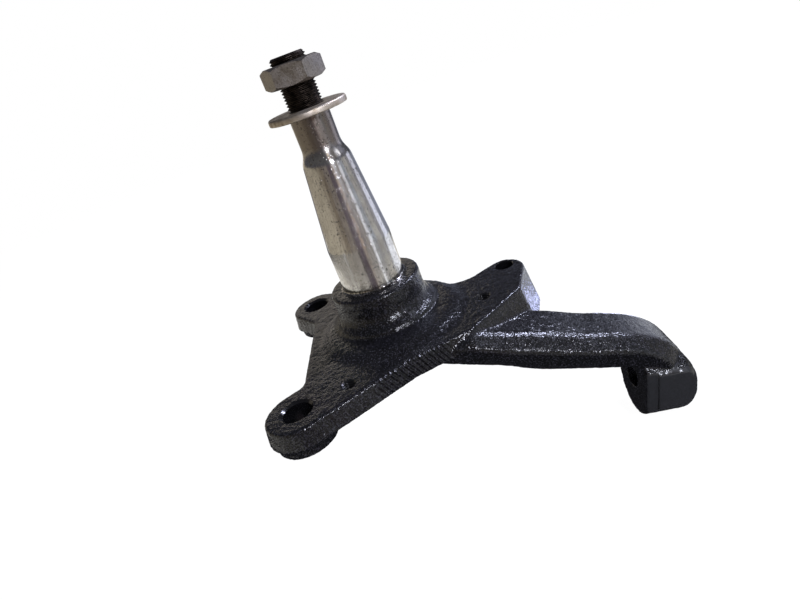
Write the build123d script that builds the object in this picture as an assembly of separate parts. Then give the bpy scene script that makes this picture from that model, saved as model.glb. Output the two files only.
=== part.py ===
from build123d import *
from math import acos, atan2, cos, hypot, pi, radians, sin, sqrt, tan
import os

# Steering knuckle with its spindle washer and thin hex nut. Millimetres.
# Frame: origin on the spindle's axis, at the collar face that the inner bearing seats against.
# +Z runs outboard along the spindle, +X up the car towards the ball joint, +Y along the car.

# Spindle, turned in one piece with the forging
INNER_JOURNAL_DIAMETER = 38.1
INNER_JOURNAL_LENGTH = 27.0
JOURNAL_ROOT_BEVEL = 0.4
TAPER_LENGTH = 49.0
TAPER_END_DIAMETER = 27.4
NECK_LENGTH = 6.5
OUTER_JOURNAL_DIAMETER = 21.986
OUTER_JOURNAL_LENGTH = 17.5
THREAD_DIAMETER = 19.05
THREAD_LENGTH = 29.8
THREAD_END_CHAMFER = 1.4

# Washer and thin hex nut on the thread
THREAD_CLEARANCE = 0.05
WASHER_OUTER_DIAMETER = 43.0
WASHER_THICKNESS = 3.3
WASHER_EDGE_CHAMFER = 0.5
NUT_ACROSS_FLATS = 28.575
NUT_THICKNESS = 10.7
NUT_HEIGHT_ABOVE_WASHER = 12.3
NUT_TURN = 29.2
NUT_FACE_DIAMETER = 27.8
NUT_CORNER_ANGLE = 30.0
NUT_THREAD_CHAMFER = 1.0

# Collar, waisted above a flared foot
COLLAR_HEIGHT = 25.0
COLLAR_DIAMETER = 55.4
COLLAR_EDGE_CHAMFER = 1.2
COLLAR_WAIST_DEPTH = 11.0
COLLAR_FOOT_DEPTH = 18.5
COLLAR_FOOT_DIAMETER = 66.0
COLLAR_FOOT_CHAMFER = 1.5

# Raised pad round the collar's leading side
PAD_HEIGHT = 3.2
PAD_RADIUS = 40.0
PAD_CENTRE = (3.0, -8.0)
PAD_SLOPE_WIDTH = 5.0

# Flange plate: three lobes joined by straight edges
PLATE_THICKNESS = 11.4
FLANGE_DRAFT = 10.0
PLATE_EDGE_CHAMFER = 0.8
PLATE_INNER_EDGE_X = -50.0
LEADING_CORNER_Y = -52.0
TRAILING_CORNER_Y = 19.5
FRONT_WAIST = (11.0, -58.5)
ARM_CORNER = (47.0, -48.0)
LOBE_SHOULDER = (80.0, -20.0)
REAR_WAIST = (51.0, 9.5)
LEADING_CORNER_RADIUS = 6.0
TRAILING_CORNER_RADIUS = 12.0
FRONT_WAIST_RADIUS = 14.0
ARM_CORNER_RADIUS = 4.0
LOBE_SHOULDER_RADIUS = 8.0
REAR_WAIST_RADIUS = 16.0

# Lower lobes with their bolt holes and underside bosses
LOWER_HOLES_X = -51.5
LEADING_HOLE_Y = -73.7
TRAILING_HOLE_Y = 47.0
LOWER_HOLE_DIAMETER = 16.0
LOWER_HOLE_CHAMFER = 1.4
LEADING_LOBE_RADIUS = 17.6
TRAILING_LOBE_RADIUS = 16.2
LOWER_BOSS_HEIGHT = 6.2
LOWER_BOSS_DRAFT = 4.0

# Upper lobe, a pillar that stands down beside the arm
UPPER_HOLE = (77.9, 14.7)
UPPER_HOLE_DIAMETER = 11.2
UPPER_HOLE_CHAMFER = 0.7
UPPER_LOBE = (76.6, 10.2)
UPPER_LOBE_RADIUS = 12.4
UPPER_PILLAR_HEIGHT = 28.0

# Two small threaded holes, the upper one blind because the arm's root lies under it
LEADING_TAPPED_HOLE = (-23.6, -64.5)
UPPER_TAPPED_HOLE = (58.3, -17.2)
UPPER_TAPPED_HOLE_DEPTH = 10.0
TAPPED_HOLE_DIAMETER = 6.9
TAPPED_HOLE_CHAMFER = 1.0

# Gooseneck arm, a drafted section with its parting line near the top
ARM_Y = -35.5
ARM_ROOT_X = 47.0
ARM_ROOT_DEPTH = 1.8
ARM_TAIL_LENGTH = 22.0
ARM_TAIL_DEPTH = 5.0
ARM_TAIL_SHARE = 0.65
ARM_SLOPE = 20.0
ARM_SAG = 1.6
ARM_BACK_RISE = 1.6
ARM_STATION_SHARES = (0.0, 0.3, 0.65, 1.0)
ARM_THICKNESS = 20.0
ARM_TOP_WIDTH = 26.0
ARM_EDGE_CHAMFER = 1.6
ARM_PARTING_WIDTH = 42.0
ARM_BOTTOM_WIDTH = 34.0
ARM_PARTING_SHARE = 0.36
BEND_RADIUS = 40.0
BEND_CENTRE_BELOW_STUD = 3.0
BEND_STATION_ANGLES = (42.0, 20.0, 2.0)
THROAT_STEPS = ((1.5, -2.5), (3.0, -7.0), (5.0, -15.0))

# End boss with the tapered ball-stud hole
STUD_HOLE_FACE = (127.6, -37.0, 69.5)
BOSS_TILT = 7.0
BOSS_LENGTH = 29.5
BOSS_RADIUS = 21.5
BOSS_SHIFT_FORWARD = 2.8
BOSS_SHIFT_DOWN = 0.8
BOSS_EDGE_ROUND = 9.0
BOSS_FLAT_REACH = 18.2
BOSS_STEP_DEPTH = 1.2
BOSS_STEP_FROM_FACE = 6.5
STUD_HOLE_SMALL_DIAMETER = 14.6
STUD_HOLE_TAPER = 0.125
STUD_HOLE_CHAMFER = 0.5

# Worked out from the sizes above
PLATE_TOP = -COLLAR_HEIGHT
PLATE_BOTTOM = PLATE_TOP - PLATE_THICKNESS
JOURNAL_TOP = INNER_JOURNAL_LENGTH
TAPER_TOP = JOURNAL_TOP + TAPER_LENGTH
NECK_TOP = TAPER_TOP + NECK_LENGTH
SHOULDER = NECK_TOP + OUTER_JOURNAL_LENGTH
SPINDLE_TIP = SHOULDER + THREAD_LENGTH
WASHER_TOP = SHOULDER + WASHER_THICKNESS
CUT_MARGIN = 2.0


def tangent_point(point, centre, radius, side):
    """Where a line from the point touches a circle. side is +1 or -1, for its two tangents."""
    dx = point[0] - centre[0]
    dy = point[1] - centre[1]
    angle = atan2(dy, dx) + side * acos(radius / hypot(dx, dy))
    return (centre[0] + radius * cos(angle), centre[1] + radius * sin(angle))


def round_corner(face, corner, radius):
    """Rounds the one corner of a flat face that lies nearest the given point."""
    nearest = min(face.vertices(), key=lambda v: hypot(v.X - corner[0], v.Y - corner[1]))
    return fillet(nearest, radius)


def flange_outline():
    """Plan of the flange: straight edges run tangent into three round lobes."""
    leading = (LOWER_HOLES_X, LEADING_HOLE_Y)
    trailing = (LOWER_HOLES_X, TRAILING_HOLE_Y)
    leading_corner = (PLATE_INNER_EDGE_X, LEADING_CORNER_Y)
    trailing_corner = (PLATE_INNER_EDGE_X, TRAILING_CORNER_Y)
    web = make_face(Polyline(
        trailing_corner,
        leading_corner,
        tangent_point(leading_corner, leading, LEADING_LOBE_RADIUS, 1),
        leading,
        tangent_point(FRONT_WAIST, leading, LEADING_LOBE_RADIUS, -1),
        FRONT_WAIST,
        ARM_CORNER,
        LOBE_SHOULDER,
        tangent_point(LOBE_SHOULDER, UPPER_LOBE, UPPER_LOBE_RADIUS, 1),
        UPPER_LOBE,
        tangent_point(REAR_WAIST, UPPER_LOBE, UPPER_LOBE_RADIUS, -1),
        REAR_WAIST,
        tangent_point(REAR_WAIST, trailing, TRAILING_LOBE_RADIUS, 1),
        trailing,
        tangent_point(trailing_corner, trailing, TRAILING_LOBE_RADIUS, -1),
        close=True,
    ))
    web = round_corner(web, leading_corner, LEADING_CORNER_RADIUS)
    web = round_corner(web, trailing_corner, TRAILING_CORNER_RADIUS)
    web = round_corner(web, FRONT_WAIST, FRONT_WAIST_RADIUS)
    web = round_corner(web, ARM_CORNER, ARM_CORNER_RADIUS)
    web = round_corner(web, LOBE_SHOULDER, LOBE_SHOULDER_RADIUS)
    web = round_corner(web, REAR_WAIST, REAR_WAIST_RADIUS)
    lobes = Pos(*leading) * Circle(LEADING_LOBE_RADIUS)
    lobes += Pos(*trailing) * Circle(TRAILING_LOBE_RADIUS)
    lobes += Pos(*UPPER_LOBE) * Circle(UPPER_LOBE_RADIUS)
    return web + lobes


def lower_boss(y, lobe_radius):
    """Drafted round boss under a lower lobe."""
    bottom_radius = lobe_radius - LOWER_BOSS_HEIGHT * tan(radians(LOWER_BOSS_DRAFT))
    height = LOWER_BOSS_HEIGHT + PLATE_THICKNESS / 2
    boss = Cone(bottom_radius, lobe_radius, height, align=(Align.CENTER, Align.CENTER, Align.MIN))
    return Pos(LOWER_HOLES_X, y, PLATE_BOTTOM - LOWER_BOSS_HEIGHT) * boss


def upper_pillar():
    """The upper lobe's pillar: that end of the flange's plan, drawn down with draft."""
    root = (ARM_CORNER[0] + UPPER_LOBE_RADIUS, ARM_CORNER[1] + UPPER_LOBE_RADIUS)
    plan = make_face(Polyline(
        root,
        LOBE_SHOULDER,
        tangent_point(LOBE_SHOULDER, UPPER_LOBE, UPPER_LOBE_RADIUS, 1),
        UPPER_LOBE,
        tangent_point(root, UPPER_LOBE, UPPER_LOBE_RADIUS, -1),
        close=True,
    ))
    plan = round_corner(plan, LOBE_SHOULDER, LOBE_SHOULDER_RADIUS)
    plan += Pos(*UPPER_LOBE) * Circle(UPPER_LOBE_RADIUS)
    return Pos(0, 0, PLATE_TOP) * extrude(plan, amount=-UPPER_PILLAR_HEIGHT, taper=-FLANGE_DRAFT)


def raised_pad():
    """Low round pad on the flange, with a sloping rim."""
    pad = Cone(PAD_RADIUS + PAD_SLOPE_WIDTH, PAD_RADIUS, PAD_HEIGHT,
               align=(Align.CENTER, Align.CENTER, Align.MIN))
    return Pos(*PAD_CENTRE, PLATE_TOP) * pad


def collar_and_spindle():
    """Collar with its flared foot, and the turned spindle above it, as one turned profile."""
    collar_radius = COLLAR_DIAMETER / 2
    foot_radius = COLLAR_FOOT_DIAMETER / 2
    journal_radius = INNER_JOURNAL_DIAMETER / 2
    outer_radius = OUTER_JOURNAL_DIAMETER / 2
    thread_radius = THREAD_DIAMETER / 2
    foot_top = (foot_radius - COLLAR_FOOT_CHAMFER, -COLLAR_FOOT_DEPTH)
    foot_side = (foot_radius, -COLLAR_FOOT_DEPTH - COLLAR_FOOT_CHAMFER)
    waist = (collar_radius, -COLLAR_WAIST_DEPTH)
    collar_rim = (collar_radius, -COLLAR_EDGE_CHAMFER)
    collar_face = (collar_radius - COLLAR_EDGE_CHAMFER, 0)
    journal_foot = (journal_radius + JOURNAL_ROOT_BEVEL, 0)
    journal_root = (journal_radius, JOURNAL_ROOT_BEVEL)
    neck_foot = (TAPER_END_DIAMETER / 2, TAPER_TOP)
    neck_head = (outer_radius, NECK_TOP)
    base_depth = -COLLAR_HEIGHT - PLATE_THICKNESS / 2
    profile = [
        Line((0, base_depth), (foot_radius, base_depth)),
        Line((foot_radius, base_depth), foot_side),
        Line(foot_side, foot_top),
        TangentArc(waist, foot_top, tangent=(0, -1)),
        Line(waist, collar_rim),
        Line(collar_rim, collar_face),
        Line(collar_face, journal_foot),
        Line(journal_foot, journal_root),
        Line(journal_root, (journal_radius, JOURNAL_TOP)),
        Line((journal_radius, JOURNAL_TOP), neck_foot),
        TangentArc(neck_head, neck_foot, tangent=(0, -1)),
        Line(neck_head, (outer_radius, SHOULDER)),
        Line((outer_radius, SHOULDER), (thread_radius, SHOULDER)),
        Line((thread_radius, SHOULDER), (thread_radius, SPINDLE_TIP - THREAD_END_CHAMFER)),
        Line((thread_radius, SPINDLE_TIP - THREAD_END_CHAMFER),
             (thread_radius - THREAD_END_CHAMFER, SPINDLE_TIP)),
        Line((thread_radius - THREAD_END_CHAMFER, SPINDLE_TIP), (0, SPINDLE_TIP)),
        Line((0, SPINDLE_TIP), (0, base_depth)),
    ]
    section = make_face([Plane.XZ * edge for edge in profile])
    return revolve(section, Axis.Z)


def boss_plane():
    """Plane of the end boss's inner face, centred on the stud hole, its normal along the hole."""
    x, y, depth = STUD_HOLE_FACE
    tilt = radians(BOSS_TILT)
    return Plane(origin=(x, y, PLATE_TOP - depth), x_dir=(0, 1, 0), z_dir=(cos(tilt), 0, -sin(tilt)))


def bend_centre():
    """Centre of the gooseneck's outer bend, which runs tangent to the boss's outer face."""
    tilt = radians(BOSS_TILT)
    outer_face_x = STUD_HOLE_FACE[0] + BOSS_LENGTH * cos(tilt)
    return (outer_face_x - BEND_RADIUS, PLATE_TOP - STUD_HOLE_FACE[2] - BEND_CENTRE_BELOW_STUD)


def arm_stations():
    """The arm's side view as stations: outer point, inner point, share of full width, back edge's rise."""
    centre_x, centre_z = bend_centre()
    slope = radians(ARM_SLOPE)
    root_x = ARM_ROOT_X
    root_z = PLATE_TOP - ARM_ROOT_DEPTH
    run = centre_x + BEND_RADIUS * sin(slope) - root_x
    drop = centre_z + BEND_RADIUS * cos(slope) - root_z
    tail_x = root_x - ARM_TAIL_LENGTH
    tail_outer = (tail_x, PLATE_TOP - ARM_TAIL_DEPTH)
    tail_inner = (tail_x, PLATE_BOTTOM - ARM_ROOT_DEPTH)
    stations = [(tail_outer, tail_inner, ARM_TAIL_SHARE, 0.0)]
    for share in ARM_STATION_SHARES:
        outer = (root_x + share * run, root_z + share * drop - ARM_SAG * sin(pi * share))
        inner = (outer[0] - ARM_THICKNESS * sin(slope), outer[1] - ARM_THICKNESS * cos(slope))
        stations.append((outer, inner, 1.0, ARM_BACK_RISE * sin(pi * share)))
    throat_x, throat_z = inner
    for angle, (step_x, step_z) in zip(BEND_STATION_ANGLES, THROAT_STEPS):
        turn = radians(angle)
        outer = (centre_x + BEND_RADIUS * cos(turn), centre_z + BEND_RADIUS * sin(turn))
        stations.append((outer, (throat_x + step_x, throat_z + step_z), 1.0, 0.0))
    return stations


def arm_section(outer, inner, width_share, back_rise):
    """Six-sided forged section, its corners eased and its top's back corner raised."""
    rise = Vector(outer[0] - inner[0], 0, outer[1] - inner[1])
    height = rise.length
    side = Vector(0, 1, 0)
    plane = Plane(origin=(inner[0], ARM_Y, inner[1]), x_dir=side, z_dir=side.cross(rise))
    parting_height = height * (1 - ARM_PARTING_SHARE)
    half_top = ARM_TOP_WIDTH * width_share / 2
    half_parting = ARM_PARTING_WIDTH * width_share / 2
    half_bottom = ARM_BOTTOM_WIDTH * width_share / 2
    outline = make_face(Polyline(
        (-half_bottom, 0),
        (-half_parting, parting_height),
        (-half_top, height),
        (half_top, height + back_rise),
        (half_parting, parting_height),
        (half_bottom, 0),
        close=True,
    ))
    return plane * chamfer(outline.vertices(), ARM_EDGE_CHAMFER)


def gooseneck_arm():
    """Arm from the flange's root round the bend and into the end boss."""
    return loft([arm_section(*station) for station in arm_stations()])


def end_boss():
    """Round boss across the arm's end, trimmed to the outside of the bend."""
    boss = Cylinder(BOSS_RADIUS, BOSS_LENGTH, align=(Align.CENTER, Align.CENTER, Align.MIN))
    boss = fillet(boss.edges().group_by(Axis.Z)[-1], BOSS_EDGE_ROUND)
    boss = boss_plane() * Pos(-BOSS_SHIFT_FORWARD, -BOSS_SHIFT_DOWN, 0) * boss
    centre_x, centre_z = bend_centre()
    all_round = 4 * (BEND_RADIUS + BOSS_RADIUS)
    bend_disc = Plane.XZ.offset(-ARM_Y) * Pos(centre_x, centre_z) * Cylinder(BEND_RADIUS, all_round)
    below = Pos(centre_x, ARM_Y, centre_z) * Box(all_round, all_round, all_round,
                                                 align=(Align.CENTER, Align.CENTER, Align.MAX))
    return boss & (bend_disc + below)


def boss_cuts():
    """Milled front flat with its step beside the face, and the tapered stud hole."""
    side = BOSS_RADIUS + CUT_MARGIN
    flat_y = BOSS_SHIFT_FORWARD + BOSS_FLAT_REACH
    beyond = 2 * (BOSS_LENGTH + CUT_MARGIN)
    strip = Pos(BOSS_STEP_DEPTH - flat_y - side, 0, 0) * Box(2 * side, 2 * side, 2 * BOSS_STEP_FROM_FACE)
    flat = Pos(-flat_y - side, 0, 0) * Box(2 * side, 2 * side, beyond)
    small_radius = STUD_HOLE_SMALL_DIAMETER / 2
    large_radius = small_radius + STUD_HOLE_TAPER * BOSS_LENGTH / 2
    hole = Cone(small_radius, large_radius, BOSS_LENGTH, align=(Align.CENTER, Align.CENTER, Align.MIN))
    mouth = Pos(0, 0, BOSS_LENGTH) * Cylinder(large_radius, 2 * CUT_MARGIN)
    rim = Cone(small_radius + STUD_HOLE_CHAMFER, small_radius, STUD_HOLE_CHAMFER,
               align=(Align.CENTER, Align.CENTER, Align.MIN))
    return boss_plane() * (strip + flat), boss_plane() * (hole + mouth + rim)


def bolt_hole(x, y, depth, diameter, rim_chamfer):
    """Cutter for a round hole of the given depth down from the flange's face, its rim chamfered."""
    radius = diameter / 2
    drill = Cylinder(radius, depth + CUT_MARGIN, align=(Align.CENTER, Align.CENTER, Align.MAX))
    rim = Cone(radius, radius + rim_chamfer, rim_chamfer, align=(Align.CENTER, Align.CENTER, Align.MAX))
    return Pos(x, y, PLATE_TOP) * (Pos(0, 0, CUT_MARGIN) * drill + rim)


def flange_holes():
    """All the holes that go down into the flange, each with its own depth."""
    plate_through = PLATE_THICKNESS + CUT_MARGIN
    boss_through = plate_through + LOWER_BOSS_HEIGHT
    pillar_through = UPPER_PILLAR_HEIGHT + CUT_MARGIN
    cutters = bolt_hole(LOWER_HOLES_X, LEADING_HOLE_Y, boss_through, LOWER_HOLE_DIAMETER, LOWER_HOLE_CHAMFER)
    cutters += bolt_hole(LOWER_HOLES_X, TRAILING_HOLE_Y, boss_through, LOWER_HOLE_DIAMETER, LOWER_HOLE_CHAMFER)
    cutters += bolt_hole(*UPPER_HOLE, pillar_through, UPPER_HOLE_DIAMETER, UPPER_HOLE_CHAMFER)
    cutters += bolt_hole(*LEADING_TAPPED_HOLE, plate_through, TAPPED_HOLE_DIAMETER, TAPPED_HOLE_CHAMFER)
    cutters += bolt_hole(*UPPER_TAPPED_HOLE, UPPER_TAPPED_HOLE_DEPTH, TAPPED_HOLE_DIAMETER, TAPPED_HOLE_CHAMFER)
    return cutters


def knuckle():
    """The whole forging with its turned spindle."""
    flange = extrude(flange_outline(), amount=-PLATE_THICKNESS, taper=-FLANGE_DRAFT)
    flange = Pos(0, 0, PLATE_TOP) * flange + upper_pillar()
    flange = chamfer(flange.edges().group_by(Axis.Z)[-1], PLATE_EDGE_CHAMFER)
    body = flange + gooseneck_arm() + end_boss()
    body += lower_boss(LEADING_HOLE_Y, LEADING_LOBE_RADIUS)
    body += lower_boss(TRAILING_HOLE_Y, TRAILING_LOBE_RADIUS)
    body += raised_pad()
    body += collar_and_spindle()
    flat, stud_hole = boss_cuts()
    return body - flat - stud_hole - flange_holes()


def washer():
    """Plain spindle washer on the outer journal's shoulder."""
    ring = Cylinder(WASHER_OUTER_DIAMETER / 2, WASHER_THICKNESS,
                    align=(Align.CENTER, Align.CENTER, Align.MIN))
    ring = chamfer(ring.edges().filter_by(GeomType.CIRCLE), WASHER_EDGE_CHAMFER)
    bore = Cylinder(THREAD_DIAMETER / 2 + THREAD_CLEARANCE, 2 * (WASHER_THICKNESS + CUT_MARGIN))
    return Pos(0, 0, SHOULDER) * (ring - bore)


def nut():
    """Thin hex nut, chamfered on both faces, backed off up the thread."""
    corner_radius = NUT_ACROSS_FLATS / sqrt(3)
    hexagon = extrude(RegularPolygon(corner_radius, 6), amount=NUT_THICKNESS)
    face_radius = NUT_FACE_DIAMETER / 2
    bevel = (corner_radius - face_radius) * tan(radians(NUT_CORNER_ANGLE))
    turned = Cylinder(corner_radius, NUT_THICKNESS, align=(Align.CENTER, Align.CENTER, Align.MIN))
    turned = chamfer(turned.edges().filter_by(GeomType.CIRCLE), bevel, corner_radius - face_radius)
    bore_radius = THREAD_DIAMETER / 2 + THREAD_CLEARANCE
    bore = Cylinder(bore_radius, 2 * (NUT_THICKNESS + CUT_MARGIN))
    rim = Cone(bore_radius + NUT_THREAD_CHAMFER, bore_radius, NUT_THREAD_CHAMFER,
               align=(Align.CENTER, Align.CENTER, Align.MIN))
    rims = rim + Pos(0, 0, NUT_THICKNESS) * Rot(180, 0, 0) * rim
    body = (hexagon & turned) - bore - rims
    return Pos(0, 0, WASHER_TOP + NUT_HEIGHT_ABOVE_WASHER) * Rot(0, 0, NUT_TURN) * body


os.makedirs("parts", exist_ok=True)
export_step(knuckle(), "parts/knuckle.step")
export_step(washer(), "parts/washer.step")
export_step(nut(), "parts/nut.step")
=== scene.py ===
import bpy
from math import cos, pi, radians, sin, sqrt
from mathutils import Matrix, Vector


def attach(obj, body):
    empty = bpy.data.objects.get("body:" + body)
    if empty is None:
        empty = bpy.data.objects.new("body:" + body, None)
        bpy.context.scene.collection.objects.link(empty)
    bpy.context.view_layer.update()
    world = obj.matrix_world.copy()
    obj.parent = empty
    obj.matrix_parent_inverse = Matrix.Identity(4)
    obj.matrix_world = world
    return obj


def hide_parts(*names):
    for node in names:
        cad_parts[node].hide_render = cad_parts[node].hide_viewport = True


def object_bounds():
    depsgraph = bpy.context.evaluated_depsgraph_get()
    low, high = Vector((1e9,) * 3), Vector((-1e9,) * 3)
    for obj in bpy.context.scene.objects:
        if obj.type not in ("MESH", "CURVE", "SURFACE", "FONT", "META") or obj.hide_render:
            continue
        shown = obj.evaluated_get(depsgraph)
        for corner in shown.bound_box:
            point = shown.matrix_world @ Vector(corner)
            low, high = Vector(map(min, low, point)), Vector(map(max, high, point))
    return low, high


# Forged steering knuckle: painted forging, bare turned spindle with its thread, washer and thin nut.
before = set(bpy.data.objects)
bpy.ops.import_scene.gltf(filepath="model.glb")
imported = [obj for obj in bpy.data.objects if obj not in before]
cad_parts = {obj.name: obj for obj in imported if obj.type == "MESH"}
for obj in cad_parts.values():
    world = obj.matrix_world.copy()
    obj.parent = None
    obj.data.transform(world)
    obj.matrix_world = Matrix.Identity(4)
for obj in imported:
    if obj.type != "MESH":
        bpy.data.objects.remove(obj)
cad_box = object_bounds()
MM = 0.001
WELD = 0.002 * MM

# Sizes shared with the solids, in millimetres
PLATE_TOP = -25.0
PAD_MIDDLE = (3, -8)
PAD_RADIUS = 47
PAD_RIM = (-26, -20.5)
COLLAR_REACH = 34
LOWER_HOLES = ((-51.5, -73.7), (-51.5, 47.0))
UPPER_HOLE = (77.9, 14.7)
TAPPED_HOLES = ((-23.6, -64.5), (58.3, -17.2))
TAPPED_DEPTHS = (24.0, 10.0)
LOWER_RADIUS = 8
LOWER_DEPTH = 24
LOWER_RIM = 1.4
UPPER_RADIUS = 5.6
UPPER_DEPTH = 34
UPPER_RIM = 0.7
TAPPED_RADIUS = 3.45
TAPPED_PITCH = 1.411
TAPPED_RIM = 1.0
STUD_FACE = (127.6, -37.0, -94.5)
STUD_TILT = 7.0
BOSS_FLAT = -21.0
BOSS_STEP = -19.8
BOSS_STEP_DEPTH = 6.5
SHOULDER = 100.0
THREAD_TIP = 129.8
THREAD_PITCH = 25.4 / 16
THREAD_CREST = 9.5
THREAD_ROOT = 8.6
WASHER = (100.0, 103.3)
WASHER_BORE = 9.6
WASHER_RADIUS = 21.5
NUT = (115.6, 126.3)
NUT_ACROSS_FLATS = 28.575
NUT_FACE_RADIUS = 13.75
NUT_TURN = 29.2

# The forging's skin, in millimetres, and its count of triangles before the holes are recut
VOXEL = 0.75
PAD_PASSES = 60
SKIN_TRIANGLES = 170000

# Name, width and height of the scale's relief, and the share of it that lies below the skin
SCALE_RELIEF = (("hammered_scale", 6.0, 0.22, 0.8), ("blasted_scale", 1.6, 0.26, 0.75))

# Radius and far end of the plugs that fill the holes for the remesh
LOWER_PLUG = (11, -42.6)
UPPER_PLUG = (8, -53)
TAPPED_PLUG = (5.5, -36.4)
STUD_PLUG = (9.3, 27.8)

# The studio, in millimetres and in degrees from the bearing that the camera looks from
FRONT = -82
RING_RADIUS = 500
RING_FLOOR = -119
RING_TOP = 150
UPPER_RING = (300, 540)


# ---------------------------------------------------------------- modelling helpers

def pick(obj):
    """Only this object is selected and active."""
    bpy.ops.object.select_all(action='DESELECT')
    obj.select_set(True)
    bpy.context.view_layer.objects.active = obj


def apply(obj, kind, **settings):
    """Adds a modifier with its settings and applies it."""
    pick(obj)
    modifier = obj.modifiers.new(kind.lower(), kind)
    for name, value in settings.items():
        setattr(modifier, name, value)
    bpy.ops.object.modifier_apply(modifier=modifier.name)


def draw_profile(name, profile):
    """Draws a line through points of (radius, height) in millimetres, and leaves it in edit mode."""
    bpy.ops.object.select_all(action='DESELECT')
    bpy.ops.mesh.primitive_plane_add(size=MM)
    obj = bpy.context.object
    obj.name = name
    bpy.ops.object.mode_set(mode='EDIT')
    bpy.ops.mesh.select_all(action='SELECT')
    bpy.ops.mesh.merge(type='CENTER')
    x, z = profile[0]
    bpy.ops.transform.translate(value=(x * MM, 0, z * MM))
    for next_x, next_z in profile[1:]:
        move = ((next_x - x) * MM, 0, (next_z - z) * MM)
        bpy.ops.mesh.extrude_region_move(TRANSFORM_OT_translate={"value": move})
        x, z = next_x, next_z
    return obj


def lathe(name, profile, steps):
    """Spins a profile of (radius, height) in millimetres round Z into a closed solid."""
    obj = draw_profile(name, profile)
    bpy.ops.mesh.select_all(action='SELECT')
    bpy.ops.mesh.spin(steps=steps, angle=2 * pi, center=(0, 0, 0), axis=(0, 0, 1))
    bpy.ops.mesh.select_all(action='SELECT')
    bpy.ops.mesh.remove_doubles(threshold=WELD)
    bpy.ops.mesh.normals_make_consistent(inside=False)
    bpy.ops.object.mode_set(mode='OBJECT')
    return obj


def place(obj, matrix):
    """Moves a piece to its place, which goes into its mesh."""
    obj.matrix_world = matrix @ obj.matrix_world
    pick(obj)
    bpy.ops.object.transform_apply(location=True, rotation=True, scale=True)
    return obj


def join(first, others):
    """Joins objects into the first one."""
    bpy.ops.object.select_all(action='DESELECT')
    for obj in others:
        obj.select_set(True)
    first.select_set(True)
    bpy.context.view_layer.objects.active = first
    bpy.ops.object.join()
    return first


def cut(obj, tool, operation='DIFFERENCE'):
    """Boolean with a cutting tool, which is then thrown away."""
    apply(obj, 'BOOLEAN', operation=operation, object=tool, solver='EXACT')
    bpy.data.objects.remove(tool, do_unlink=True)


def smooth(obj, degrees):
    """Smooth shading up to the given angle between faces."""
    pick(obj)
    bpy.ops.object.shade_smooth_by_angle(angle=radians(degrees))


def at(x, y, z):
    """Placement at a point in millimetres."""
    return Matrix.Translation(Vector((x, y, z)) * MM)


def stud_frame():
    """Placement of the tapered stud hole: its +Z runs from the boss's inner face outwards."""
    return at(*STUD_FACE) @ Matrix.Rotation(radians(90 + STUD_TILT), 4, 'Y')


# ---------------------------------------------------------------- the forging

def solid_cylinder(name, radius, bottom, top):
    """Plain cylinder between two heights, in millimetres, for filling holes before they are recut."""
    return lathe(name, ((0, bottom), (radius, bottom), (radius, top), (0, top)), 48)


def hole_cutter(name, radius, depth, rim):
    """Drill with a chamfer at its mouth. Its origin is at the mouth and it cuts downwards."""
    return lathe(name, ((0, -depth), (radius, -depth), (radius, -rim), (radius + rim, 0),
                        (radius + rim, 3), (0, 3)), 64)


def tapped_cutter(name, radius, depth, pitch, rim):
    """Tap drill with thread grooves, drawn as rings one pitch apart."""
    groove = 0.55
    profile = [(0, -depth), (radius, -depth)]
    z = -depth + 0.3 * pitch
    while z < -rim - pitch:
        profile += [(radius, z), (radius + groove, z + 0.4 * pitch), (radius, z + 0.8 * pitch)]
        z += pitch
    profile += [(radius, -rim), (radius + rim, 0), (radius + rim, 3), (0, 3)]
    return lathe(name, profile, 48)


def block(low, high, matrix):
    """Square cutting block between two corners in millimetres, in a given frame."""
    bpy.ops.object.select_all(action='DESELECT')
    bpy.ops.mesh.primitive_cube_add(size=1)
    middle = [(a + b) / 2 * MM for a, b in zip(low, high)]
    size = [(b - a) * MM for a, b in zip(low, high)]
    stretch = Matrix.Translation(middle) @ Matrix.Diagonal((*size, 1))
    return place(bpy.context.object, matrix @ stretch)


def fill_holes(forging):
    """Joins plugs into the solid's holes, so that they can be recut sharp after the remesh."""
    plugs = [place(solid_cylinder("plug", *LOWER_PLUG, PLATE_TOP), at(x, y, 0)) for x, y in LOWER_HOLES]
    plugs.append(place(solid_cylinder("plug", *UPPER_PLUG, PLATE_TOP), at(*UPPER_HOLE, 0)))
    plugs += [place(solid_cylinder("plug", *TAPPED_PLUG, PLATE_TOP), at(x, y, 0)) for x, y in TAPPED_HOLES]
    radius, far_end = STUD_PLUG
    plugs.append(place(solid_cylinder("plug", radius, 0, far_end), stud_frame()))
    join(forging, plugs)


def soften_pad(forging):
    """Smooths the rim where the collar's round pad runs out into the flange."""
    pick(forging)
    bpy.ops.object.mode_set(mode='EDIT')
    bpy.ops.mesh.select_all(action='DESELECT')
    bpy.ops.object.mode_set(mode='OBJECT')
    for vertex in forging.data.vertices:
        x, y, z = vertex.co / MM
        in_pad = (x - PAD_MIDDLE[0]) ** 2 + (y - PAD_MIDDLE[1]) ** 2 < PAD_RADIUS ** 2
        vertex.select = PAD_RIM[0] < z < PAD_RIM[1] and in_pad and x ** 2 + y ** 2 > COLLAR_REACH ** 2
    bpy.ops.object.mode_set(mode='EDIT')
    bpy.ops.mesh.vertices_smooth(factor=0.5, repeat=PAD_PASSES)
    bpy.ops.object.mode_set(mode='OBJECT')


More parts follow.
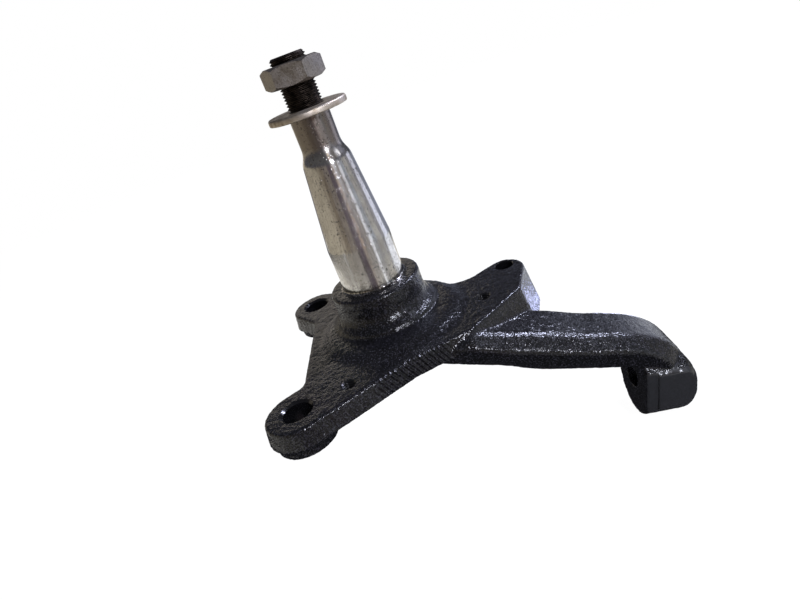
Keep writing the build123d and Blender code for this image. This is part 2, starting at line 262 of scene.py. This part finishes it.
def machine_forging(forging):
    """Drills, taps and reams the holes, mills the boss's stepped flat and faces the collar."""
    tools = [place(hole_cutter("drill", LOWER_RADIUS, LOWER_DEPTH, LOWER_RIM), at(x, y, PLATE_TOP))
             for x, y in LOWER_HOLES]
    upper = hole_cutter("drill", UPPER_RADIUS, UPPER_DEPTH, UPPER_RIM)
    tools.append(place(upper, at(*UPPER_HOLE, PLATE_TOP)))
    for (x, y), depth in zip(TAPPED_HOLES, TAPPED_DEPTHS):
        tap = tapped_cutter("tap", TAPPED_RADIUS, depth, TAPPED_PITCH, TAPPED_RIM)
        tools.append(place(tap, at(x, y, PLATE_TOP)))
    taper = lathe("reamer", ((0, -3), (7.8, -3), (7.8, 0), (7.36, 0.5), (9.08, 27.5), (9.45, 28.2),
                             (9.45, 34), (0, 34)), 64)
    tools.append(place(taper, stud_frame()))
    cut(forging, join(tools[0], tools[1:]))
    cut(forging, block((-40, -45, -5), (40, BOSS_STEP, BOSS_STEP_DEPTH), stud_frame()))
    cut(forging, block((-40, -45, -5), (40, BOSS_FLAT, 40), stud_frame()))
    cut(forging, block((-40, -40, -0.12), (40, 40, 5), Matrix.Identity(4)))


def make_forging():
    """The hot-forged body: flange, collar, arm and boss with worn edges, and its machined places."""
    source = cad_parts["knuckle"]
    forging = bpy.data.objects.new("forging", source.data.copy())
    bpy.context.scene.collection.objects.link(forging)
    pick(forging)
    bpy.ops.object.mode_set(mode='EDIT')
    bpy.ops.mesh.select_all(action='SELECT')
    bpy.ops.mesh.remove_doubles(threshold=WELD)
    bpy.ops.mesh.select_all(action='SELECT')
    bpy.ops.mesh.bisect(plane_co=(0, 0, -0.02 * MM), plane_no=(0, 0, 1), use_fill=True, clear_outer=True)
    bpy.ops.object.mode_set(mode='OBJECT')
    fill_holes(forging)
    apply(forging, 'REMESH', mode='VOXEL', voxel_size=VOXEL * MM)
    apply(forging, 'SMOOTH', factor=0.5, iterations=2)
    soften_pad(forging)
    for name, size, height, level in SCALE_RELIEF:
        scale = bpy.data.textures.new(name, 'CLOUDS')
        scale.noise_scale = size * MM
        scale.noise_depth = 0
        apply(forging, 'DISPLACE', texture=scale, texture_coords='LOCAL', strength=height * MM,
              mid_level=level)
    triangles = sum(len(p.vertices) - 2 for p in forging.data.polygons)
    apply(forging, 'DECIMATE', ratio=SKIN_TRIANGLES / triangles)
    machine_forging(forging)
    smooth(forging, 40)
    return forging


# ---------------------------------------------------------------- spindle, thread, washer and nut

def make_spindle():
    """Turned spindle from the collar's face up to the thread's shoulder."""
    profile = [(0, -3), (21.0, -3), (20.9, -0.4)]
    for step in range(7):
        turn = radians(90 * step / 6)
        profile.append((20.55 - 1.5 * sin(turn), 1.5 - 1.5 * cos(turn)))
    profile += [(19.05, 26.0), (19.0, 27.0), (18.85, 28.0), (13.95, 73.4), (13.75, 74.8), (13.45, 76.0),
                (12.95, 77.2), (12.35, 78.5), (11.8, 79.8), (11.4, 81.0), (11.12, 82.3), (11.0, 83.6),
                (10.993, 84.5)]
    profile += [(10.993, 99.3), (10.5, SHOULDER), (0, SHOULDER)]
    spindle = lathe("spindle", profile, 128)
    smooth(spindle, 30)
    return spindle


def make_thread():
    """Helical thread of the spindle's end, cut to length, with its end chamfered."""
    profile = []
    z = SHOULDER - 2 * THREAD_PITCH
    while z < THREAD_TIP + 2 * THREAD_PITCH:
        profile += [(THREAD_ROOT, z), (THREAD_ROOT, z + 0.12 * THREAD_PITCH),
                    (THREAD_CREST, z + 0.5 * THREAD_PITCH), (THREAD_CREST, z + 0.62 * THREAD_PITCH)]
        z += THREAD_PITCH
    thread = draw_profile("spindle_thread", profile)
    bpy.ops.object.mode_set(mode='OBJECT')
    apply(thread, 'SCREW', angle=2 * pi, screw_offset=THREAD_PITCH * MM, steps=72, render_steps=72,
          axis='Z', use_merge_vertices=False)
    bpy.ops.object.mode_set(mode='EDIT')
    bpy.ops.mesh.select_all(action='SELECT')
    bpy.ops.mesh.remove_doubles(threshold=0.005 * MM)
    for height, clear in ((SHOULDER - 1, -1), (THREAD_TIP, 1)):
        bpy.ops.mesh.select_all(action='SELECT')
        bpy.ops.mesh.bisect(plane_co=(0, 0, height * MM), plane_no=(0, 0, clear), use_fill=True,
                            clear_outer=True)
    bpy.ops.mesh.select_all(action='SELECT')
    bpy.ops.mesh.normals_make_consistent(inside=False)
    bpy.ops.object.mode_set(mode='OBJECT')
    blank = lathe("blank", ((0, SHOULDER - 5), (12, SHOULDER - 5), (12, THREAD_TIP - 3.9),
                            (8.0, THREAD_TIP + 0.1), (8.0, THREAD_TIP + 2), (0, THREAD_TIP + 2)), 72)
    cut(thread, blank, 'INTERSECT')
    smooth(thread, 30)
    return thread


def make_washer():
    """Plain stamped washer with rolled edges."""
    bottom, top = WASHER
    edge = 0.45
    ring = lathe("spindle_washer", (
        (WASHER_BORE, bottom + edge), (WASHER_BORE + edge, bottom), (WASHER_RADIUS - 0.3, bottom),
        (WASHER_RADIUS, bottom + edge), (WASHER_RADIUS, top - 1.1), (21.35, top - 0.5), (20.9, top),
        (10.0, top), (WASHER_BORE, top - 0.3), (WASHER_BORE, bottom + edge)), 128)
    apply(ring, 'BEVEL', width=0.12 * MM, segments=2, limit_method='ANGLE', angle_limit=radians(25))
    smooth(ring, 40)
    return ring


def make_nut():
    """Thin hex nut: a hexagon turned off at 30 degrees on both faces, with a threaded bore."""
    bottom, top = NUT
    corner = NUT_ACROSS_FLATS / sqrt(3)
    blank_radius = corner + 0.3
    bpy.ops.object.select_all(action='DESELECT')
    bpy.ops.mesh.primitive_cylinder_add(vertices=6, radius=corner * MM, depth=(top - bottom) * MM)
    hexagon = bpy.context.object
    hexagon.name = "spindle_nut"
    tan_30 = 0.5774
    bevel = (blank_radius - NUT_FACE_RADIUS) * tan_30
    half = (top - bottom) / 2
    blank = lathe("blank", ((0, -half), (NUT_FACE_RADIUS, -half), (blank_radius, -half + bevel),
                            (blank_radius, half - bevel), (NUT_FACE_RADIUS, half), (0, half)), 96)
    cut(hexagon, blank, 'INTERSECT')
    profile = [(0, -half - 1), (10.6, -half - 1), (10.6, -half), (9.6, -half + 1.0)]
    z = -half + 1.0
    while z < half - 1.0 - THREAD_PITCH:
        profile += [(9.6, z + 0.1 * THREAD_PITCH), (10.0, z + 0.5 * THREAD_PITCH),
                    (9.6, z + 0.9 * THREAD_PITCH)]
        z += THREAD_PITCH
    profile += [(9.6, half - 1.0), (10.6, half), (10.6, half + 1), (0, half + 1)]
    cut(hexagon, lathe("tap", profile, 72))
    apply(hexagon, 'BEVEL', width=0.22 * MM, segments=2, limit_method='ANGLE', angle_limit=radians(22))
    place(hexagon, at(0, 0, bottom + half) @ Matrix.Rotation(radians(NUT_TURN), 4, 'Z'))
    smooth(hexagon, 35)
    return hexagon


# ---------------------------------------------------------------- materials

def colour(code):
    """Linear colour of a hex sRGB value."""
    parts = [int(code[i:i + 2], 16) / 255 for i in (1, 3, 5)]
    return [c / 12.92 if c <= 0.04045 else ((c + 0.055) / 1.055) ** 2.4 for c in parts] + [1.0]


def add(tree, kind, inputs=None, **settings):
    """Adds a node with its settings, and sets or links its inputs."""
    node = tree.nodes.new(kind)
    for name, value in settings.items():
        setattr(node, name, value)
    for socket, value in (inputs or {}).items():
        if isinstance(value, bpy.types.NodeSocket):
            tree.links.new(value, node.inputs[socket])
        else:
            node.inputs[socket].default_value = value
    return node


def empty_tree(owner):
    """Turns on the nodes of a material or world and clears them."""
    owner.use_nodes = True
    owner.node_tree.nodes.clear()
    return owner.node_tree


def new_material(name):
    """Material with its Principled shader and its Object coordinates."""
    material = bpy.data.materials.new(name)
    tree = empty_tree(material)
    shader = add(tree, 'ShaderNodeBsdfPrincipled')
    add(tree, 'ShaderNodeOutputMaterial', {"Surface": shader.outputs["BSDF"]})
    where = add(tree, 'ShaderNodeTexCoord').outputs["Object"]
    return material, tree, shader, where


def forging_paint():
    """Black chassis enamel sprayed over shot-blasted forged steel: dark, with a wet glint on each grain."""
    material, tree, shader, where = new_material("black_enamel_on_forged_steel")
    spot = add(tree, 'ShaderNodeSeparateXYZ', {0: where}).outputs
    # The boss's trimmed flat and the drilled holes have no scale under their paint.
    far = add(tree, 'ShaderNodeMapRange', {"Value": spot[0], "From Min": 0.100, "From Max": 0.104})
    flat = add(tree, 'ShaderNodeMapRange', {"Value": spot[1], "From Min": -0.0560, "From Max": -0.0565})
    trimmed = add(tree, 'ShaderNodeMath', {0: far.outputs[0], 1: flat.outputs[0]}, operation='MULTIPLY')
    scaly = add(tree, 'ShaderNodeMapRange', {"Value": trimmed.outputs[0], "To Min": 1.0, "To Max": 0.06})
    ground = add(tree, 'ShaderNodeCombineXYZ', {0: spot[0], 1: spot[1]})
    drilled = [(*hole, 9.3) for hole in LOWER_HOLES] + [(*UPPER_HOLE, 6.2)]
    drilled += [(*hole, 4.3) for hole in TAPPED_HOLES]
    for x, y, radius in drilled:
        away = add(tree, 'ShaderNodeVectorMath', {0: ground.outputs[0], 1: (x * MM, y * MM, 0)},
                   operation='DISTANCE')
        outside = add(tree, 'ShaderNodeMapRange', {
            "Value": away.outputs["Value"], "From Min": radius * MM, "From Max": (radius + 0.3) * MM,
            "To Min": 0.06})
        scaly = add(tree, 'ShaderNodeMath', {0: scaly.outputs[0], 1: outside.outputs[0]},
                    operation='MULTIPLY')
    # Dust and overspray vary the black in patches about 9 mm across.
    patches = add(tree, 'ShaderNodeTexNoise', {"Vector": where, "Scale": 110.0, "Detail": 4.0,
                                               "Roughness": 0.6})
    share = add(tree, 'ShaderNodeMapRange', {"Value": patches.outputs["Fac"], "From Min": 0.35,
                                             "From Max": 0.7})
    tone = add(tree, 'ShaderNodeMix', {0: share.outputs[0], 6: colour("#080809"), 7: colour("#121214")},
               data_type='RGBA')
    # Scale grains are about 0.9 mm, and their tops are rubbed grey.
    grains = add(tree, 'ShaderNodeTexNoise', {"Vector": where, "Scale": 1150.0, "Detail": 0.0})
    rubbed = add(tree, 'ShaderNodeMapRange', {"Value": grains.outputs["Fac"], "From Min": 0.5,
                                              "From Max": 0.75})
    rubbed = add(tree, 'ShaderNodeMath', {0: rubbed.outputs[0], 1: scaly.outputs[0]},
                 operation='MULTIPLY')
    for share, code in ((rubbed, "#2c2b30"), (trimmed, "#29292a")):
        tone = add(tree, 'ShaderNodeMix', {0: share.outputs[0], 6: tone.outputs[2], 7: colour(code)},
                   data_type='RGBA')
    tree.links.new(tone.outputs[2], shader.inputs["Base Color"])
    gloss = add(tree, 'ShaderNodeTexNoise', {"Vector": where, "Scale": 300.0, "Detail": 3.0})
    rough = add(tree, 'ShaderNodeMapRange', {"Value": gloss.outputs["Fac"], "From Min": 0.3,
                                             "From Max": 0.7,
                                             "To Min": 0.13, "To Max": 0.27})
    tree.links.new(rough.outputs[0], shader.inputs["Roughness"])
    # The trimmed flash leaves slanting tears 2.4 mm apart on the wall between the leading lobe and the
    # arm. The limits are in metres. The flange's flat underside at z -0.0364 lies inside them too.
    slant = add(tree, 'ShaderNodeMapping', {"Vector": where, "Rotation": (0.0, radians(28), 0.0)})
    wave = add(tree, 'ShaderNodeTexWave', {"Vector": slant.outputs[0], "Scale": 130.0, "Distortion": 1.6,
                                           "Detail": 2.0, "Detail Scale": 1.5}, bands_direction='X')
    tears = wave.outputs["Fac"]
    for axis, outside, inside in ((0, -0.012, -0.004), (0, 0.034, 0.028), (2, -0.0252, -0.0265),
                                  (1, -0.030, -0.036), (2, -0.0395, -0.038)):
        part = add(tree, 'ShaderNodeMapRange', {"Value": spot[axis], "From Min": outside,
                                                "From Max": inside})
        tears = add(tree, 'ShaderNodeMath', {0: part.outputs[0], 1: tears},
                    operation='MULTIPLY').outputs[0]
    lumps = add(tree, 'ShaderNodeTexNoise', {"Vector": where, "Scale": 350.0, "Detail": 0.0})
    relief = add(tree, 'ShaderNodeBump', {"Strength": scaly.outputs[0], "Height": lumps.outputs["Fac"],
                                          "Distance": 0.27 * MM})
    relief = add(tree, 'ShaderNodeBump', {"Height": tears, "Distance": 0.8 * MM,
                                          "Normal": relief.outputs[0]})
    relief = add(tree, 'ShaderNodeBump', {"Strength": scaly.outputs[0], "Height": grains.outputs["Fac"],
                                          "Distance": 0.23 * MM, "Normal": relief.outputs[0]})
    tree.links.new(relief.outputs[0], shader.inputs["Normal"])
    return material


def turned_steel():
    """Carbon steel, turned and polished by its bearings: sharp long reflections, pits and old stains."""
    material, tree, shader, where = new_material("turned_spindle_steel")
    spot = add(tree, 'ShaderNodeSeparateXYZ', {0: where}).outputs
    # Lighter towards the inner journal, and darker and rougher on the outer one.
    rise = add(tree, 'ShaderNodeMapRange', {"Value": spot[2], "From Min": 0.020, "From Max": 0.074})
    tone = add(tree, 'ShaderNodeMix', {0: rise.outputs[0], 6: colour("#e6e4df"), 7: colour("#d0cdc8")},
               data_type='RGBA')
    dull = add(tree, 'ShaderNodeMapRange', {"Value": spot[2], "From Min": 0.078, "From Max": 0.084})
    tone = add(tree, 'ShaderNodeMix', {0: dull.outputs[0], 6: tone.outputs[2], 7: colour("#8a8178")},
               data_type='RGBA')
    stains = add(tree, 'ShaderNodeTexNoise', {"Vector": where, "Scale": 90.0, "Detail": 5.0,
                                              "Roughness": 0.65})
    share = add(tree, 'ShaderNodeMapRange', {"Value": stains.outputs["Fac"], "From Min": 0.45,
                                             "From Max": 0.75,
                                             "To Max": 0.5})
    tone = add(tree, 'ShaderNodeMix', {0: share.outputs[0], 6: tone.outputs[2], 7: colour("#8f887d")},
               data_type='RGBA')
    # Faint lengthwise lines about 0.7 mm apart are painted reflection streaks, stretched along the spindle.
    drawn = add(tree, 'ShaderNodeMapping', {"Vector": where, "Scale": (1.0, 1.0, 0.03)})
    painted_streaks = add(tree, 'ShaderNodeTexNoise', {"Vector": drawn.outputs[0], "Scale": 1400.0, "Detail": 3.0})
    share = add(tree, 'ShaderNodeMapRange', {"Value": painted_streaks.outputs["Fac"], "From Min": 0.4,
                                             "From Max": 0.65,
                                             "To Max": 0.22})
    tone = add(tree, 'ShaderNodeMix', {0: share.outputs[0], 6: tone.outputs[2], 7: colour("#857f86")},
               data_type='RGBA')
    # Rust pits up to about 1 mm wide.
    pits = add(tree, 'ShaderNodeTexNoise', {"Vector": where, "Scale": 700.0, "Detail": 4.0,
                                            "Roughness": 0.7})
    holes = add(tree, 'ShaderNodeMapRange', {"Value": pits.outputs["Fac"], "From Min": 0.585,
                                             "From Max": 0.66})
    tone = add(tree, 'ShaderNodeMix', {0: holes.outputs[0], 6: tone.outputs[2], 7: colour("#4a443e")},
               data_type='RGBA')
    # Grime sits in the corner at the collar.
    foot = add(tree, 'ShaderNodeMapRange', {"Value": spot[2], "From Min": 0.0055, "From Max": 0.0})
    broken = add(tree, 'ShaderNodeMapRange', {"Value": pits.outputs["Fac"], "From Min": 0.38,
                                              "From Max": 0.55})
    grime = add(tree, 'ShaderNodeMath', {0: foot.outputs[0], 1: broken.outputs[0]}, operation='MULTIPLY')
    tone = add(tree, 'ShaderNodeMix', {0: grime.outputs[0], 6: tone.outputs[2], 7: colour("#2a2522")},
               data_type='RGBA')
    tree.links.new(tone.outputs[2], shader.inputs["Base Color"])
    shader.inputs["Metallic"].default_value = 1.0
    shader.inputs["Anisotropic"].default_value = 0.4
    shader.inputs["Anisotropic Rotation"].default_value = 0.25
    tangent = add(tree, 'ShaderNodeTangent', direction_type='RADIAL', axis='Z')
    tree.links.new(tangent.outputs[0], shader.inputs["Tangent"])
    rough = add(tree, 'ShaderNodeMapRange', {"Value": stains.outputs["Fac"], "From Min": 0.3,
                                             "From Max": 0.7,
                                             "To Min": 0.13, "To Max": 0.2})
    rough = add(tree, 'ShaderNodeMath', {0: dull.outputs[0], 1: 0.12, 2: rough.outputs[0]},
                operation='MULTIPLY_ADD')
    tree.links.new(rough.outputs[0], shader.inputs["Roughness"])
    # Turning marks, drawn 0.5 mm apart so that they can show.
    rings = add(tree, 'ShaderNodeTexWave', {"Vector": where, "Scale": 600.0, "Distortion": 0.6,
                                            "Detail": 2.0},
                bands_direction='Z')
    relief = add(tree, 'ShaderNodeBump', {"Height": rings.outputs["Fac"], "Distance": 0.003 * MM})
    relief = add(tree, 'ShaderNodeBump', {"Height": holes.outputs[0], "Distance": 0.04 * MM,
                                          "Normal": relief.outputs[0]}, invert=True)
    tree.links.new(relief.outputs[0], shader.inputs["Normal"])
    return material


def thread_steel():
    """Cut thread in carbon steel, near black, with patches of old oil."""
    material, tree, shader, where = new_material("oiled_thread_steel")
    oil = add(tree, 'ShaderNodeTexNoise', {"Vector": where, "Scale": 400.0, "Detail": 4.0})
    share = add(tree, 'ShaderNodeMapRange', {"Value": oil.outputs["Fac"], "From Min": 0.35,
                                             "From Max": 0.65})
    tone = add(tree, 'ShaderNodeMix', {0: share.outputs[0], 6: colour("#1d1917"), 7: colour("#4f4740")},
               data_type='RGBA')
    tree.links.new(tone.outputs[2], shader.inputs["Base Color"])
    shader.inputs["Metallic"].default_value = 1.0
    shader.inputs["Roughness"].default_value = 0.42
    crumbs = add(tree, 'ShaderNodeTexNoise', {"Vector": where, "Scale": 1100.0, "Detail": 3.0})
    relief = add(tree, 'ShaderNodeBump', {"Height": crumbs.outputs["Fac"], "Distance": 0.05 * MM})
    tree.links.new(relief.outputs[0], shader.inputs["Normal"])
    return material


def nut_steel():
    """Machined nut of plain carbon steel, tarnished brown-grey, with a speckle of rust."""
    material, tree, shader, where = new_material("tarnished_nut_steel")
    tarnish = add(tree, 'ShaderNodeTexNoise', {"Vector": where, "Scale": 150.0, "Detail": 5.0})
    share = add(tree, 'ShaderNodeMapRange', {"Value": tarnish.outputs["Fac"], "From Min": 0.35,
                                             "From Max": 0.65})
    tone = add(tree, 'ShaderNodeMix', {0: share.outputs[0], 6: colour("#9a9285"), 7: colour("#a09a93")},
               data_type='RGBA')
    speckle = add(tree, 'ShaderNodeTexNoise', {"Vector": where, "Scale": 1100.0, "Detail": 4.0,
                                               "Roughness": 0.7})
    share = add(tree, 'ShaderNodeMapRange', {"Value": speckle.outputs["Fac"], "From Min": 0.48,
                                             "From Max": 0.75,
                                             "To Max": 0.8})
    tone = add(tree, 'ShaderNodeMix', {0: share.outputs[0], 6: tone.outputs[2], 7: colour("#453c37")},
               data_type='RGBA')
    tree.links.new(tone.outputs[2], shader.inputs["Base Color"])
    shader.inputs["Metallic"].default_value = 1.0
    rough = add(tree, 'ShaderNodeMapRange', {"Value": tarnish.outputs["Fac"], "From Min": 0.3,
                                             "From Max": 0.7,
                                             "To Min": 0.3, "To Max": 0.48})
    tree.links.new(rough.outputs[0], shader.inputs["Roughness"])
    relief = add(tree, 'ShaderNodeBump', {"Height": speckle.outputs["Fac"], "Distance": 0.13 * MM})
    tree.links.new(relief.outputs[0], shader.inputs["Normal"])
    return material


def washer_steel():
    """Stamped steel washer, browned in patches by handling."""
    material, tree, shader, where = new_material("stamped_washer_steel")
    brown = add(tree, 'ShaderNodeTexNoise', {"Vector": where, "Scale": 200.0, "Detail": 5.0,
                                             "Roughness": 0.65})
    share = add(tree, 'ShaderNodeMapRange', {"Value": brown.outputs["Fac"], "From Min": 0.35,
                                             "From Max": 0.65})
    tone = add(tree, 'ShaderNodeMix', {0: share.outputs[0], 6: colour("#d8cec0"), 7: colour("#a3957f")},
               data_type='RGBA')
    tree.links.new(tone.outputs[2], shader.inputs["Base Color"])
    shader.inputs["Metallic"].default_value = 1.0
    rough = add(tree, 'ShaderNodeMapRange', {"Value": brown.outputs["Fac"], "From Min": 0.3,
                                             "From Max": 0.7,
                                             "To Min": 0.4, "To Max": 0.6})
    tree.links.new(rough.outputs[0], shader.inputs["Roughness"])
    relief = add(tree, 'ShaderNodeBump', {"Height": brown.outputs["Fac"], "Distance": 0.12 * MM})
    tree.links.new(relief.outputs[0], shader.inputs["Normal"])
    return material


def paint(obj, material, slot_name, *nodes):
    """Finishes a piece: its material, the body it rides on and the solids it stands for. Its slot name is
    not used.
    """
    obj.data.materials.clear()
    obj.data.materials.append(material)
    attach(obj, "root")
    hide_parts(*nodes)


# ---------------------------------------------------------------- floor, light and camera

def background_rays(tree):
    """1 for the rays that show the white background: seen directly, mirrored or through glass."""
    rays = add(tree, 'ShaderNodeLightPath').outputs
    seen = add(tree, 'ShaderNodeMath', {0: rays["Is Camera Ray"], 1: rays["Is Glossy Ray"]},
               operation='ADD')
    seen = add(tree, 'ShaderNodeMath', {0: seen.outputs[0], 1: rays["Is Transmission Ray"]},
               operation='ADD',
               use_clamp=True)
    return seen.outputs[0]


def make_stage(floor_height):
    """White floor that keeps a faint shadow, and a white surround."""
    bpy.ops.object.select_all(action='DESELECT')
    bpy.ops.mesh.primitive_circle_add(vertices=64, radius=2.0, fill_type='NGON', location=(0, 0,
                                                                                           floor_height))
    floor = bpy.context.object
    floor.name = "floor"
    material = bpy.data.materials.new("white_floor")
    tree = empty_tree(material)
    seen = background_rays(tree)
    matt = add(tree, 'ShaderNodeBsdfDiffuse', {"Color": colour("#e6e6e6")})
    faint = add(tree, 'ShaderNodeBsdfDiffuse', {"Color": colour("#4f4f4f")})
    white = add(tree, 'ShaderNodeEmission', {"Color": colour("#ffffff"), "Strength": 0.975})
    shown = add(tree, 'ShaderNodeAddShader', {0: faint.outputs[0], 1: white.outputs[0]})
    both = add(tree, 'ShaderNodeMixShader', {0: seen, 1: matt.outputs[0], 2: shown.outputs[0]})
    add(tree, 'ShaderNodeOutputMaterial', {"Surface": both.outputs[0]})
    floor.data.materials.append(material)
    world = bpy.data.worlds.new("studio")
    bpy.context.scene.world = world
    tree = empty_tree(world)
    seen = background_rays(tree)
    room = add(tree, 'ShaderNodeBackground', {"Color": colour("#e9ecf5"), "Strength": 0.45})
    white = add(tree, 'ShaderNodeBackground', {"Color": colour("#ffffff"), "Strength": 1.0})
    both = add(tree, 'ShaderNodeMixShader', {0: seen, 1: room.outputs[0], 2: white.outputs[0]})
    add(tree, 'ShaderNodeOutputWorld', {"Surface": both.outputs[0]})


def lamp(name, place_mm, target_mm, width, height, power, tint):
    """Soft rectangular lamp aimed at a point."""
    data = bpy.data.lights.new(name, 'AREA')
    data.shape = 'RECTANGLE'
    data.size = width * MM
    data.size_y = height * MM
    data.energy = power
    data.color = colour(tint)[:3]
    obj = bpy.data.objects.new(name, data)
    bpy.context.scene.collection.objects.link(obj)
    spot = Vector(place_mm) * MM
    way = Vector(target_mm) * MM - spot
    obj.matrix_world = Matrix.Translation(spot) @ way.to_track_quat('-Z', 'Y').to_matrix().to_4x4()


def card_finish(obj, tint, strength):
    """Studio card that only reflections show. It lights nothing and throws no shadow."""
    material = bpy.data.materials.new(obj.name)
    tree = empty_tree(material)
    glow = add(tree, 'ShaderNodeEmission', {"Color": colour(tint), "Strength": strength})
    add(tree, 'ShaderNodeOutputMaterial', {"Surface": glow.outputs[0]})
    obj.data.materials.append(material)
    obj.visible_camera = False
    obj.visible_diffuse = False
    obj.visible_transmission = False
    obj.visible_shadow = False


def standing_card(name, start, end, tint, strength, bottom, top):
    """Upright card on a ring round the part, between two bearings counted from the front."""
    bpy.ops.object.select_all(action='DESELECT')
    bpy.ops.mesh.primitive_plane_add(size=1.0)
    obj = bpy.context.object
    obj.name = name
    middle = radians(FRONT + (start + end) / 2)
    half = radians((end - start) / 2)
    width = 2 * RING_RADIUS * sin(half) / cos(half)
    upright = Matrix.Rotation(middle, 4, 'Z') @ at(RING_RADIUS, 0, (top + bottom) / 2)
    turn = Matrix.Rotation(pi / 2, 4, 'Y')
    obj.matrix_world = upright @ turn @ Matrix.Diagonal(((top - bottom) * MM, width * MM, 1, 1))
    card_finish(obj, tint, strength)


def make_cards(floor_height):
    """Room that only reflections show: a dark ball, lying cards and rings of upright cards."""
    bpy.ops.object.select_all(action='DESELECT')
    bpy.ops.mesh.primitive_uv_sphere_add(segments=48, ring_count=24, radius=1.3)
    room = bpy.context.object
    room.name = "dark_room"
    card_finish(room, "#55555c", 1.0)
    for name, size, height, tint in (
            ("dark_table", 0.56, 0.3, "#48484c"), ("pale_sheet", 0.42, 0.5, "#eeebe4"),
            ("dark_mat", 0.25, 0.9, "#303034")):
        bpy.ops.object.select_all(action='DESELECT')
        bpy.ops.mesh.primitive_circle_add(vertices=64, radius=size, fill_type='NGON',
                                          location=(0, 0, floor_height + height * MM))
        table = bpy.context.object
        table.name = name
        card_finish(table, tint, 1.0)
    # Lying cards that only reflections show: shade_on_sheet is a painted shadow of the camera on the sheet,
    # and window_on_sheet, light_on_sheet and the bright patch on the mat are painted patches of light.
    for name, bearing, distance, size, tint, strength in (
            ("shade_on_sheet", FRONT - 5, 0.3, (0.3, 0.15), "#6a6169", 1.0),
            ("bright_patch_on_mat", 32, 0.215, (0.045, 0.05), "#c9d0ff", 7.0),
            ("window_on_sheet", FRONT + 41, 0.36, (0.24, 0.035), "#f4f7ff", 1.5),
            ("light_on_sheet", FRONT + 116, 0.36, (0.24, 0.30), "#e4e8f2", 1.5)):
        bpy.ops.object.select_all(action='DESELECT')
        bpy.ops.mesh.primitive_plane_add(size=1.0)
        card = bpy.context.object
        card.name = name
        spot = Matrix.Translation((distance, 0, floor_height + 1.2 * MM))
        card.matrix_world = Matrix.Rotation(radians(bearing), 4, 'Z') @ spot @ Matrix.Diagonal((*size, 1,
                                                                                                1))
        card_finish(card, tint, strength)
    for name, start, end, tint, strength in (
            ("warm_wall", -150, -62, "#b0a898", 1.0), ("wall_edge", -62, -48, "#9c9385", 1.0),
            ("wall_shade", -48, -34, "#7f7569", 1.0), ("shelf", -34, -14, "#857d77", 1.0),
            ("dim_corner", -14, 4, "#5f565f", 1.0), ("door", 4, 14, "#a08f83", 1.0),
            ("door_edge", 14, 22, "#77716f", 1.0), ("door_frame", 22, 35, "#8e8886", 1.0),
            ("window", 35, 45, "#eef2ff", 1.15), ("blue_wall", 45, 60, "#a7aebb", 1.0),
            ("white_wall", 60, 82, "#b5b4b3", 1.0), ("grey_wall", 82, 98, "#98979e", 1.0),
            ("side_window", 98, 122, "#e4e9ff", 1.2)):
        standing_card(name, start, end, tint, strength, RING_FLOOR, RING_TOP)
    for name, start, end, tint, bottom, top in (
            ("far_wall", 122, 170, "#8d92a4", RING_FLOOR, 60), ("far_shade", 122, 168, "#4a4b52", 60,
                                                                RING_TOP),
            ("low_back_wall", 170, 210, "#6c6c74", RING_FLOOR, 20),
            ("pale_wall", 168, 210, "#f0e6d8", 20, 185)):
        standing_card(name, start, end, tint, 1.0, bottom, top)
    for name, start, end, tint, strength in (
            ("upper_left", -100, 8, "#58585a", 1.0), ("upper_door", 8, 18, "#e6cdb4", 1.0),
            ("upper_frame", 18, 52, "#77726f", 1.0), ("upper_wall", 52, 66, "#a3a1a0", 1.0),
            ("upper_window", 66, 78, "#ffffff", 1.3), ("upper_right", 78, 140, "#66666c", 1.0)):
        standing_card(name, start, end, tint, strength, *UPPER_RING)
    standing_card("high_back_wall", 160, 208, "#525459", 1.0, 185, 430)


def make_camera():
    """Camera close over the arm's side, looking across the flange."""
    data = bpy.data.cameras.new("camera")
    data.lens = 25.04
    data.sensor_width = 36.0
    obj = bpy.data.objects.new("camera", data)
    bpy.context.scene.collection.objects.link(obj)
    right = Vector((0.94654, -0.05142, -0.31846))
    down = Vector((-0.30796, -0.43796, -0.84460))
    into = Vector((-0.09605, 0.89753, -0.43038))
    turn = Matrix((right, -down, -into)).transposed().to_4x4()
    obj.matrix_world = at(42.961, -305.681, 127.514) @ turn
    bpy.context.scene.camera = obj


forging = make_forging()
spindle = make_spindle()
thread = make_thread()
washer = make_washer()
nut = make_nut()
steel = turned_steel()
paint(forging, forging_paint(), "forging", "knuckle")
paint(spindle, steel, "forging", "knuckle")
paint(thread, thread_steel(), "forging", "knuckle")
paint(washer, washer_steel(), "washer_steel", "washer")
paint(nut, nut_steel(), "nut_steel", "nut")

make_stage(cad_box[0][2])
make_cards(cad_box[0][2])
lamp("side_window_light", (520, 238, 505), (60, -20, -30), 45, 120, 4.8, "#dde2ff")
lamp("front_window_light", (560, -150, 440), (60, -20, -30), 40, 110, 0.8, "#dfe5ff")
lamp("low_window_light", (340, -690, 330), (60, -60, -60), 60, 140, 3.2, "#eef1ff")
make_camera()
bpy.context.scene.view_settings.view_transform = 'Standard'
